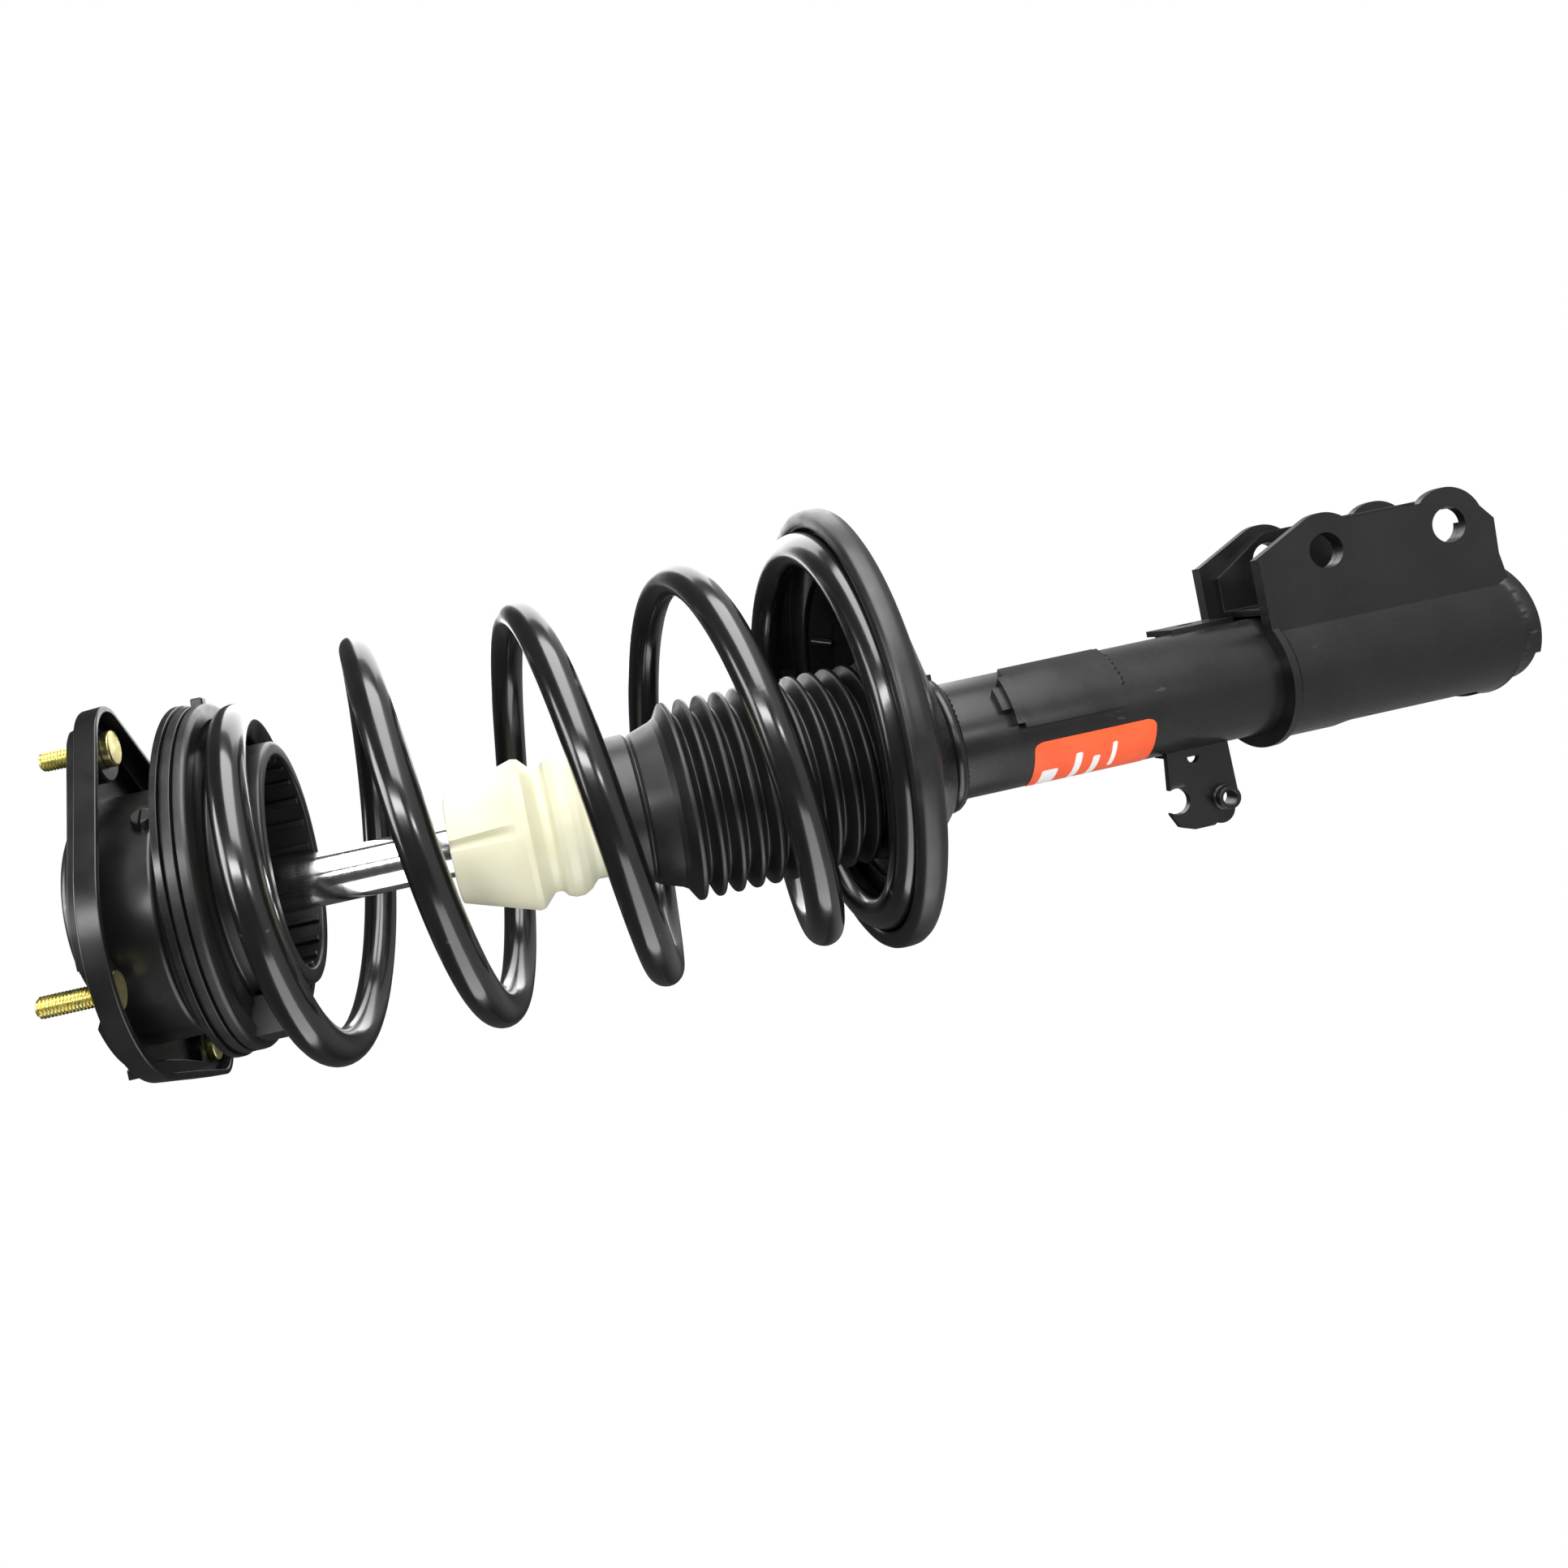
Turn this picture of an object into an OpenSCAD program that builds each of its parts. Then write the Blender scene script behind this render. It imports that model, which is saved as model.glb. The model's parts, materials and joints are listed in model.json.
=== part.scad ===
/* [Strut] */
// Outside diameter of the strut tube
tube_d = 50; // [46:1:54]
// Wall thickness of the strut tube
tube_wall = 2.2; // [1.8:0.1:3]
// Diameter of the chromed piston rod
rod_d = 22; // [18:1:24]
// Depth of the tube's rolled top edge below the mounting face
tube_top = 318; // [312:1:324]
// Depth of the tube's lower end below the mounting face
tube_end = 596; // [590:1:610]

/* [Coil spring] */
// Wire diameter
wire_d = 14.6; // [12:0.2:15]
// Centre-line radius of the open turns
coil_r = 77.6; // [74:0.2:80]
// Centre-line radius of the first, tucked-in turn
pigtail_r = 58.8; // [56:0.2:62]
// Turns from end to end
coil_turns = 5.3; // [5:0.05:5.6]
// Rise of one open turn
coil_pitch = 66; // [60:1:68]
// Depth of the first turn's centre line
coil_top = 52; // [50:0.5:56]
// Offset of the spring axis from the rod at the top seat
offset_top = 9.6; // [4:0.2:12]
// Offset of the spring axis from the rod at the bottom seat
offset_low = 15.6; // [12:0.2:18]

/* [Top mount] */
// Radius of the first stud from the rod axis
stud_1_r = 70.6; // [69:0.1:72]
// Angle of the first stud
stud_1_a = -10.8; // [-14:0.2:-8]
// Radius of the second stud from the rod axis
stud_2_r = 62.3; // [61:0.1:62.6]
// Angle of the second stud
stud_2_a = -104; // [-115:0.5:-95]
// Radius of the third stud from the rod axis
stud_3_r = 74; // [66:0.5:76]
// Angle of the third stud
stud_3_a = 151.5; // [149:0.5:154]
// Nominal thread diameter of the studs
stud_d = 8; // [6:1:10]
// Height of the studs above the mounting face
stud_len = 17.6; // [14:0.2:26]
// Depth of the stamped plate, mounting face to rim
plate_depth = 13.2; // [12:0.2:18]
// Sheet thickness of the plate
plate_t = 2.8; // [2:0.2:2.8]
// Height of the plate's raised pad over the ledge that the studs stand on
pad_h = 4.5; // [3:0.5:5]
// Outer radius of the drum that holds the mount's rubber
drum_r = 50; // [50:0.5:51]
// Radius of the dome over the rod nut
dome_r = 40; // [34:0.5:40]
// Offset of the dome from the rod axis
dome_x = 6; // [0:0.5:6]
// Height of the dome above the mounting face
dome_h = 13; // [10:0.5:14]

/* [Seats and boot] */
// Radius of the upper spring seat
upper_seat_r = 71; // [68:0.5:74]
// Outer radius of the lower rubber insulator
lower_rim_r = 93; // [90:0.5:96]
// Radius over the boot's folds
boot_r = 41.8; // [40:0.2:44]
// Folds in the boot
boot_folds = 12; // [10:1:13]
// Largest radius of the bump stop
stop_r = 31.7; // [30:0.1:34]

/* [Knuckle clamp] */
// Gap between the clamp's two ears
ear_gap = 36; // [32:1:40]
// Sheet thickness of the clamp
clamp_t = 3.6; // [3:0.1:4]
// Radius of the two knuckle bolt holes
bolt_r = 7.5; // [6:0.1:8]
// Distance of the bolt holes from the tube axis
bolt_x = 48; // [46:0.5:52]
// Depth of the upper bolt hole
bolt_1_z = 511.5; // [508:0.5:514]
// Distance between the bolt holes
bolt_pitch = 56; // [54:0.5:60]
// Depth of the clamp's upper edge
clamp_top = 480; // [478:1:484]
// Depth of the clamp's lower edge
clamp_low = 592; // [588:1:594]

/* [Hidden] */
$fn = 96;
tube_r = tube_d / 2;
rod_r = rod_d / 2;
wire_r = wire_d / 2;
bore_r = 16;
shank_r = 7;
seat_z = -36;
clamp_r = tube_r + clamp_t;
ear_y = ear_gap / 2;
knurl_r = stud_d / 2 + 0.6;
head_h = 3.4;
recess_r = 10;
drum_hole_r = drum_r - 2.5;
pilot_r = drum_hole_r - 1.1;
// Round corners of the mount plate: centre X, centre Y, radius
lobes = [[69, -22.3, 16.8], [-1, -12.5, 60.5], [-65.5, 35.5, 13.5], [0, 0, 60]];
studs = [[stud_1_r, stud_1_a], [stud_2_r, stud_2_a], [stud_3_r, stud_3_a]];
bolt_z = [-bolt_1_z, -bolt_1_z - bolt_pitch];

// Ring with a square section, standing between two heights
module ring(r_in, r_out, z_low, z_high) {
    translate([0, 0, z_low])
        difference() {
            cylinder(r = r_out, h = z_high - z_low);
            translate([0, 0, -1]) cylinder(r = r_in, h = z_high - z_low + 2);
        }
}

// Part ring between two angles, measured from +X towards -Y
module ring_part(r_in, r_out, z_low, z_high, from, to) {
    rotate([0, 0, -to])
        rotate_extrude(angle = to - from)
            translate([r_in, z_low]) square([r_out - r_in, z_high - z_low]);
}

// Hexagon with a round hole
module hex_ring(flats, hole_r, z_low, z_high) {
    difference() {
        translate([0, 0, z_low])
            cylinder(r = flats / sqrt(3), h = z_high - z_low, $fn = 6);
        translate([0, 0, z_low - 1]) cylinder(r = hole_r, h = z_high - z_low + 2);
    }
}

// Copies of the children at each stud
module at_studs() {
    for (s = studs) rotate([0, 0, s[1]]) translate([s[0], 0, 0]) children();
}

// ---- top mount ----

// Outline of the mount plate, drawn in by a distance
module plate_outline(inset) {
    hull()
        for (l = lobes) translate([l[0], l[1]]) circle(r = l[2] - inset, $fn = 64);
}

// Raised pad of the plate, drawn in by a distance, with a round recess for each stud
module pad_outline(inset) {
    difference() {
        plate_outline(6 + inset);
        at_studs() circle(r = recess_r + inset);
    }
}

module mount_plate() {
    ledge = -pad_h - plate_t;
    color("#26282a") {
        difference() {
            union() {
                translate([0, 0, -pad_h - 1]) linear_extrude(pad_h + 1) pad_outline(0);
                translate([0, 0, ledge]) linear_extrude(plate_t) plate_outline(0.8);
                translate([0, 0, -plate_depth])
                    linear_extrude(plate_depth - pad_h - 0.8) plate_outline(0);
            }
            translate([0, 0, -20]) linear_extrude(20 - plate_t) pad_outline(plate_t);
            translate([0, 0, -20]) linear_extrude(20 + ledge) plate_outline(plate_t);
            at_studs() translate([0, 0, -20]) cylinder(r = knurl_r + 0.1, h = 30);
            translate([0, 0, -20]) cylinder(r = drum_hole_r, h = 30);
        }
        ring(drum_hole_r, drum_r, -23, -plate_t);
        ring(drum_r - 6, drum_r, -25, -23);
    }
}

module mount_studs() {
    ledge = -pad_h - plate_t;
    color("#c9b24a") at_studs() {
        translate([0, 0, ledge - head_h]) cylinder(r = 7.3, h = head_h);
        translate([0, 0, ledge - 1]) cylinder(r = knurl_r, h = 1 - ledge);
        cylinder(r = stud_d / 2, h = stud_len - 1);
        translate([0, 0, stud_len - 1])
            cylinder(r1 = stud_d / 2, r2 = stud_d / 2 - 1, h = 1);
    }
}

// Cap over the drum: a skirt in the drum, a low pilot and the dome over the rod nut
module dome_cap() {
    edge = 6;
    color("#232527") difference() {
        union() {
            translate([0, 0, -5]) cylinder(r = drum_hole_r - 0.05, h = 5);
            cylinder(r = pilot_r, h = 2);
            translate([dome_x, 0, 0]) cylinder(r = dome_r, h = dome_h - edge);
            translate([dome_x, 0, dome_h - edge]) rotate_extrude() union() {
                square([dome_r - edge, edge]);
                intersection() {
                    translate([dome_r - edge, 0]) circle(r = edge);
                    square([dome_r, edge]);
                }
            }
        }
        translate([dome_x, 0, -1]) cylinder(r = dome_r - 4, h = dome_h - 1.2);
        translate([0, 0, -6]) cylinder(r = drum_hole_r - 3, h = 5.2);
    }
}

module mount_rubber() {
    color("#171819") difference() {
        ring(27.1, drum_hole_r - 0.1, -22.5, -5);
        for (a = [30 : 120 : 270])
            ring_part(33, 42, -30, -14, a, a + 55);
    }
}

// ---- strut bearing ----

bearing_z = -18;
ball_r = 3.6;
ball_ring = 16.3;
balls = 12;

module ball_groove() {
    translate([0, 0, bearing_z])
        rotate_extrude() translate([ball_ring, 0]) circle(r = ball_r + 0.35, $fn = 40);
}

module bearing_outer_race() {
    color("#8d9196") difference() {
        ring(19.4, 27, bearing_z - 6, bearing_z + 6);
        ball_groove();
    }
}

module bearing_inner_race() {
    color("#9a9ea3") difference() {
        ring(shank_r, 13.2, bearing_z - 6, bearing_z + 6);
        ball_groove();
    }
}

module at_balls() {
    for (i = [0 : balls - 1]) rotate([0, 0, i * 360 / balls])
        translate([ball_ring, 0, bearing_z]) children();
}

module bearing_balls() {
    color("#c9ccd0") at_balls() sphere(r = ball_r, $fn = 40);
}

module ball_cage() {
    color("#8a7340") difference() {
        ring(ball_ring - 1, ball_ring + 1, bearing_z - 4.6, bearing_z + 4.6);
        at_balls() rotate([0, 90, 0]) cylinder(r = ball_r + 0.2, h = 8, center = true);
    }
}

module bearing_dust_seal() {
    color("#141516") translate([0, 0, -31.4]) rotate_extrude()
        polygon([[44.6, 6.4], [49.6, 6.4], [58.5, 1.2], [58.5, 0], [56.4, 0], [48.6, 4.4], [44.6, 4.4]]);
}

// ---- parts clamped on the rod ----

module rod_nut() {
    color("#b9bbbd") hex_ring(21, shank_r, -9.5, 1);
}

module rod_washer() {
    color("#a8abae") ring(shank_r, 14, -12, -9.5);
}

module seat_spacer() {
    color("#8f9296") ring(shank_r, 12.5, seat_z + 3, -24);
}

module upper_spring_seat() {
    color("#1d1f20") difference() {
        union() {
            translate([offset_top, 0, seat_z]) cylinder(r = upper_seat_r, h = 2.6);
            translate([offset_top, 0, seat_z]) cylinder(r = upper_seat_r - 5, h = 3);
            ring(15, 42, seat_z, seat_z + 7);
        }
        translate([0, 0, seat_z - 1]) cylinder(r = shank_r, h = 20);
        translate([0, 0, seat_z + 3]) cylinder(r = 39, h = 20);
        for (a = [45 : 90 : 315]) rotate([0, 0, a])
            translate([31, 0, seat_z - 1]) cylinder(r = 4, h = 12, $fn = 40);
    }
}

// Cross-section of the upper insulator as an outline
module insulator_section() {
    difference() {
        union() {
            translate([40, seat_z - 10]) square([28, 10]);
            translate([68, seat_z - 8]) circle(r = 2);
            translate([68, seat_z - 2]) circle(r = 2);
            translate([68, seat_z - 8]) square([2, 6]);
            translate([43.5, seat_z - 31]) square([6.6, 24]);
        }
        translate([pigtail_r, -coil_top]) circle(r = wire_r + 0.2);
        translate([66, seat_z - 5.4]) square([6, 0.9]);
    }
}

module upper_insulator() {
    ribs = 24;
    color("#191a1b") difference() {
        union() {
            translate([offset_top, 0, 0]) {
                rotate_extrude() insulator_section();
                for (i = [0 : ribs - 1]) rotate([0, 0, i * 360 / ribs])
                    translate([41.8, -1.4, seat_z - 29]) cube([2.4, 2.8, 22]);
                rotate([0, 0, 4]) translate([upper_seat_r - 3, -3, seat_z - 7])
                    cube([5, 6, 5]);
            }
            coil_stop_block();
        }
        translate([offset_top, 0, seat_z - 34]) cylinder(r = 40, h = 40);
    }
}

// Ridged block that the upper end of the wire rests against
module coil_stop_block() {
    translate([offset_top, 0, 0]) {
        ring_part(52, 67.5, -coil_top - 6, seat_z - 9, 149, 170);
        for (i = [0 : 1])
            ring_part(53, 66.5, -coil_top - 7, seat_z - 10, 150 + i * 13, 156 + i * 13);
    }
}

module bump_stop_section() {
    polygon([[rod_r + 0.4, -212], [27, -212], [27, -193], [24.3, -190], [24.3, -185.5],
        [27.6, -182.5], [29.4, -179], [29.4, -175.5], [28.2, -172.5], [25.8, -170.5],
        [25.8, -167.5], [29.3, -164.2], [31.2, -162.4], [stop_r, -160], [30.8, -157],
        [22.2, -130], [rod_r + 0.4, -130]]);
}

module bump_stop() {
    color("#ece6c8") difference() {
        rotate_extrude() bump_stop_section();
        for (a = [0 : 90 : 270]) rotate([0, 0, a - 78])
            translate([22.6, 0, -152]) rotate([0, 17, 0]) cylinder(r = 3.2, h = 30, $fn = 32);
    }
}

module piston_rod() {
    color("#d6d9dc") {
        translate([0, 0, -375]) cylinder(r = 6, h = 30);
        translate([0, 0, -352]) cylinder(r = rod_r, h = 352 + seat_z - 1);
        translate([0, 0, seat_z - 1]) cylinder(r1 = rod_r, r2 = rod_r - 1, h = 1);
        translate([0, 0, seat_z - 5]) cylinder(r = shank_r, h = 43);
        translate([0, 0, 2]) cylinder(r1 = shank_r, r2 = shank_r - 1.2, h = 1.2);
    }
}

// ---- coil spring ----

// Share of a ramp done at x, rising evenly from 0 to 1 between two places
function ramp(x, start, end) = min(1, max(0, (x - start) / (end - start)));
// Drop since the start when the slope ramps up and then back to nothing
function ramp_area(x, start, end) = x < start ? 0 : x < end
    ? (x - start) * (x - start) / (2 * (end - start)) : x - (start + end) / 2;
function coil_z(t) = -coil_top - coil_pitch
    * (ramp_area(t, 0.2, 1.1) - ramp_area(t, 3.95, 4.79));
function coil_bend(t) = let (u = ramp(t, 0.4, 1.05)) u * u * (3 - 2 * u);
function coil_radius(t) = pigtail_r + (coil_r - pigtail_r) * coil_bend(t);
function coil_offset(z) = offset_top
    + (offset_low - offset_top) * (-z - coil_top) / 249;
function coil_point(t) = let (a = -360 * (t - 0.5), z = coil_z(t), r = coil_radius(t))
    [coil_offset(z) + r * cos(a), r * sin(a), z];

function unit(v) = v / norm(v);

module swept_wire(r, steps, sides, last) {
    centre = [for (i = [0 : steps]) coil_point(last * i / steps)];
    along = [for (i = [0 : steps])
        unit(centre[min(i + 1, steps)] - centre[max(i - 1, 0)])];
    out = [for (a = along) unit(cross([0, 0, 1], a))];
    points = [for (i = [0 : steps]) each [for (j = [0 : sides - 1])
        let (q = 360 * j / sides)
        centre[i] + r * cos(q) * out[i] + r * sin(q) * cross(along[i], out[i])]];
    sleeve = [for (i = [0 : steps - 1]) each [for (j = [0 : sides - 1])
        let (k = (j + 1) % sides)
        [i * sides + j, (i + 1) * sides + j, (i + 1) * sides + k, i * sides + k]]];
    start = [for (j = [0 : sides - 1]) j];
    end = [for (j = [0 : sides - 1]) steps * sides + sides - 1 - j];
    polyhedron(points, concat([start], sleeve, [end]), convexity = 10);
}

module coil_spring() {
    color("#111213") swept_wire(wire_r, 190, 14, coil_turns);
}

// ---- dust boot ----

boot_top = -197;
fold_first = -226;
fold_pitch = 7.9;
fold_last = fold_first - (boot_folds - 1) * fold_pitch;
valley_r = boot_r - 6.5;
boot_wall = 1.6;

// Rim and valley radii down the folds, drawn in by the wall for the inside
function folds(inset) = [for (i = [0 : boot_folds - 1])
    let (z = fold_first - i * fold_pitch)
    each [[boot_r - 0.9 - inset, z + 1.4], [boot_r - inset, z + 0.5],
        [boot_r - inset, z - 0.5], [boot_r - 0.9 - inset, z - 1.4],
        [valley_r - inset, z - 3.5], [valley_r - inset, z - 4.4]]];

module dust_boot() {
    outside = concat([[32.4, boot_top], [32.4, -207], [30.4, -208.6], [31.7, -210],
        [35, -219.5], [36.6, -221.6]], folds(0),
        [[valley_r, fold_last - 5], [28, fold_last - 8], [28, -331]]);
    inside = concat([[27.4, boot_top], [27.4, -213], [29.6, -216], [33, -221.6]],
        folds(boot_wall),
        [[valley_r - boot_wall, fold_last - 5], [tube_r + 0.05, fold_last - 8],
        [tube_r + 0.05, -331]]);
    back = [for (i = [len(inside) - 1 : -1 : 0]) inside[i]];
    color("#18191a") rotate_extrude() polygon(concat(outside, back));
}

// ---- lower seat ----

low_coil_z = coil_z(coil_turns);
dish_z = -307;
floor_z = -334;
neck_z = -337.5;
sheet_t = 2.2;

module lower_insulator() {
    edge = 3.8;
    rim_top = low_coil_z + 1.5;
    color("#1b1c1d") translate([offset_low, 0, 0]) rotate_extrude() union() {
        translate([66, dish_z]) square([lower_rim_r - 66 - edge, 2]);
        translate([lower_rim_r - edge, dish_z + edge]) circle(r = edge);
        translate([lower_rim_r - edge, rim_top - edge]) circle(r = edge);
        translate([lower_rim_r - 2 * edge, dish_z + edge])
            square([2 * edge, rim_top - dish_z - 2 * edge]);
    }
}

// Funnel from the pan, on the spring's axis, down to the tube
module seat_funnel(pan_r, pan_z, foot_r, foot_z) {
    hull() {
        translate([offset_low, 0, pan_z]) cylinder(r = pan_r, h = 1, $fn = 72);
        translate([0, 0, foot_z]) cylinder(r = foot_r, h = 1, $fn = 72);
    }
}

module lower_spring_seat() {
    ribs = 10;
    color("#1c1e1f") difference() {
        union() {
            difference() {
                union() {
                    translate([offset_low, 0, 0]) rotate_extrude()
                        polygon([[0, dish_z], [84, dish_z], [84, dish_z - sheet_t],
                            [65, dish_z - sheet_t], [61, -317.5], [0, -317.5]]);
                    seat_funnel(61, -318.2, 31.4, floor_z);
                }
                translate([offset_low, 0, 0]) rotate_extrude()
                    polygon([[0, dish_z + 1], [64, dish_z + 1], [64, dish_z],
                        [58.6, -316], [0, -316]]);
                seat_funnel(58.6, -316.5, 28.6, floor_z + 2.8);
            }
            for (i = [0 : ribs - 1]) translate([offset_low, 0, 0])
                rotate([0, 0, 18 + i * 360 / ribs]) translate([58.4, 0, -316.2])
                    rotate([0, 31, 0]) cylinder(r = 2, h = 9.5, $fn = 32);
            translate([0, 0, neck_z]) cylinder(r = tube_r + 3.4, h = floor_z + 2 - neck_z);
            translate([0, 0, neck_z]) rotate_extrude() translate([tube_r + 1.6, 0])
                circle(r = 3, $fn = 32);
            translate([tube_r - 2, -7, neck_z - 2]) cube([7.5, 9, 8]);
        }
        translate([0, 0, neck_z - 10]) cylinder(r = tube_r, h = 60);
    }
}

// ---- strut tube and what it holds ----

module strut_tube() {
    bore = tube_r - tube_wall;
    color("#17191a") difference() {
        union() {
            translate([0, 0, -tube_end]) cylinder(r = tube_r, h = tube_end - tube_top - 1.5);
            translate([0, 0, -tube_top - 1.5])
                cylinder(r1 = tube_r, r2 = tube_r - 1.5, h = 1.5);
        }
        translate([0, 0, -tube_end - 1]) cylinder(r = bore, h = tube_end - tube_top - 1.2);
        translate([0, 0, -tube_top - 10]) cylinder(r = 15, h = 20);
    }
}

module rod_seal() {
    z = -tube_top - 2.2;
    color("#131415") translate([0, 0, z - 5]) rotate_extrude()
        polygon([[rod_r + 0.06, 0], [tube_r - tube_wall, 0], [tube_r - tube_wall, 5],
            [16, 5], [rod_r + 2, 5], [rod_r + 0.06, 4], [rod_r + 0.06, 3.4],
            [rod_r + 1.6, 2.2], [rod_r + 0.06, 1]]);
}

module rod_guide() {
    top = -tube_top - 7.2;
    color("#7f8286") {
        ring(rod_r + 1.5, tube_r - tube_wall, top - 10, top);
        ring(rod_r + 1.5, bore_r, top - 18, top - 10);
    }
}

module guide_bushing() {
    color("#3f5a46") ring(rod_r + 0.05, rod_r + 1.5, -tube_top - 25.2, -tube_top - 7.2);
}

module rebound_stop() {
    color("#2b2c2e") ring(rod_r, 14.5, -351, -344.5);
}

piston_top = -356;

module piston() {
    color("#74777b") difference() {
        ring(6, bore_r - 0.4, piston_top - 14, piston_top);
        ring(bore_r - 1.4, bore_r + 1, piston_top - 12, piston_top - 2);
        for (a = [0 : 60 : 300]) rotate([0, 0, a])
            translate([10.5, 0, piston_top - 20]) cylinder(r = 1.6, h = 30, $fn = 24);
    }
}

module piston_band() {
    color("#3b4a40") ring(bore_r - 1.4, bore_r - 0.05, piston_top - 12, piston_top - 2);
}

module valve_shims() {
    color("#9fa2a6") {
        ring(6, 13.6, piston_top, piston_top + 0.8);
        ring(6, 12, piston_top + 0.8, piston_top + 1.6);
        ring(6, 13.2, piston_top - 14.8, piston_top - 14);
    }
}

module piston_nut() {
    color("#85888c") hex_ring(17, 6, piston_top - 19, piston_top - 14.8);
}

module pressure_tube() {
    color("#6e7276") ring(bore_r, bore_r + 1.5, -tube_end + 20, -tube_top - 17.2);
}

module base_valve() {
    z = -tube_end + 8;
    color("#7d8085") difference() {
        union() {
            translate([0, 0, z]) cylinder(r = bore_r + 3.5, h = 12);
            translate([0, 0, z]) cylinder(r = bore_r, h = 18);
        }
        for (a = [0 : 60 : 300]) rotate([0, 0, a])
            translate([10, 0, z - 1]) cylinder(r = 1.8, h = 30, $fn = 24);
        rotate([90, 0, 0]) translate([0, z, -30]) cylinder(r = 3, h = 60, $fn = 24);
    }
}

module base_cup() {
    r = tube_r - tube_wall;
    color("#1a1b1c") translate([0, 0, -tube_end]) rotate_extrude()
        polygon([[0, 8], [r - 4, 8], [r, 4], [r, 0], [r - 2.5, 0], [r - 2.5, 3],
            [r - 5, 5.5], [0, 5.5]]);
}

// ---- knuckle clamp ----

// Side view of one ear: across is the distance from the tube axis, up is height
module ear_outline() {
    lobe = 16;
    difference() {
        union() {
            polygon([[12, -clamp_top], [50, -clamp_top], [bolt_x + 14.1, bolt_z[0] + 7.6],
                [59, bolt_z[0] - 9], [59, bolt_z[1] + 13], [bolt_x + 14.1, bolt_z[1] - 7.6],
                [47, 4 - clamp_low], [32, 4.6 - clamp_low], [19, 2.4 - clamp_low],
                [12, 2.4 - clamp_low]]);
            for (z = bolt_z) translate([bolt_x, z]) circle(r = lobe);
        }
        for (z = bolt_z) translate([bolt_x, z]) circle(r = bolt_r);
    }
}

// Draws a side-view outline as a sheet between two values of Y
module side_sheet(y_low, y_high) {
    translate([0, y_high, 0]) rotate([90, 0, 0]) linear_extrude(y_high - y_low) children();
}

module knuckle_clamp() {
    lip = 2.6;
    color("#17191a") difference() {
        union() {
            translate([0, 0, -clamp_low]) cylinder(r = clamp_r, h = clamp_low - clamp_top);
            translate([0, 0, -clamp_top - 3]) cylinder(r = clamp_r + lip, h = 3);
            translate([0, 0, -clamp_top - 5.6])
                cylinder(r1 = clamp_r, r2 = clamp_r + lip, h = 2.6);
            translate([0, 0, -clamp_low]) cylinder(r = clamp_r + 1.6, h = 3);
            translate([0, 0, 3 - clamp_low]) cylinder(r1 = clamp_r + 1.6, r2 = clamp_r, h = 5);
            for (s = [-1, 1]) {
                low = s > 0 ? ear_y : -ear_y - clamp_t;
                side_sheet(low, low + clamp_t) ear_outline();
                translate([14, s > 0 ? ear_y : -ear_y - clamp_t - 2, -clamp_top - 3])
                    cube([36, clamp_t + 2, 3]);
            }
        }
        translate([0, 0, -clamp_low - 1]) cylinder(r = tube_r, h = 200);
        translate([0, -ear_y, -clamp_low - 1]) cube([80, ear_gap, 200]);
        drain_window();
        translate([-40, -50, -clamp_low - 1]) cube([28, 100, 8]);
    }
}

// Window low on the back of the clamp that leaves the tube bare
module drain_window() {
    rotate([0, -90, 0]) linear_extrude(60) hull()
        for (z = [-bolt_1_z - 4, -bolt_1_z - 60]) for (y = [-8, 8])
            translate([z, y]) circle(r = 5);
}

module clamp_stiffener() {
    t = 3;
    inside = ear_y - t;
    color("#17191a") difference() {
        union() {
            for (s = [-1, 1])
                side_sheet(s > 0 ? inside : -ear_y, s > 0 ? ear_y : -inside)
                    stiffener_outline();
            translate([tube_r + 0.8, -ear_y, -clamp_low + 12]) cube([t, ear_gap, 94]);
        }
        translate([0, 0, -clamp_low - 1]) cylinder(r = tube_r, h = 200);
    }
}

module stiffener_outline() {
    difference() {
        union() {
            polygon([[tube_r + 0.8, 12 - clamp_low], [tube_r + 0.8, 106 - clamp_low],
                [44, 106 - clamp_low], [bolt_x + 12.4, bolt_z[0]],
                [bolt_x + 12.4, bolt_z[1]], [40, 12 - clamp_low]]);
        }
        for (z = bolt_z) translate([bolt_x, z]) circle(r = bolt_r);
    }
}

// ---- brackets and label ----

module link_pad() {
    r = tube_r + 1.4;
    color("#17191a") difference() {
        union() {
            ring_part(tube_r - 1, r + 3.2, -410, -366, 24, 84);
            ring_part(tube_r - 1.5, r + 2.4, -409, -367, 20, 26);
            ring_part(tube_r - 2, r + 4.6, -367, -362.4, 38, 80);
            ring_part(tube_r - 2.5, r + 2, -363, -359, 44, 66);
        }
        translate([0, 0, -420]) cylinder(r = tube_r, h = 70);
    }
}

module wire_tab() {
    color("#17191a") difference() {
        union() {
            translate([tube_r - 0.6, 0, -479.8]) cube([2.6, 20, 28.8]);
            translate([tube_r - 8, 5, -478]) cube([9, 12, 25]);
        }
        translate([0, 0, -490]) cylinder(r = tube_r, h = 50);
        translate([0, 15, -466.5]) rotate([0, 90, 0]) cylinder(r = 3.3, h = 60, $fn = 40);
    }
}

// Side view of the hose bracket: across is -X, up is height
module hose_outline() {
    difference() {
        union() {
            polygon([[-22, -434], [-50, -431], [-56, -434], [-58, -440], [-58, -449],
                [-51.5, -459.5], [-46, -462], [-24, -461.5], [-22, -459]]);
            translate([-51.5, -453]) circle(r = 6.4);
        }
        translate([-44.7, -434.6]) circle(r = 5.6);
        translate([-48, -436]) square([6.6, 8]);
        translate([-27.3, -445]) circle(r = 2.6);
        translate([-26.6, -456]) square([10, 4]);
        translate([-46.8, -455]) circle(r = 3.4);
    }
}

hose_y = -8;

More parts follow.
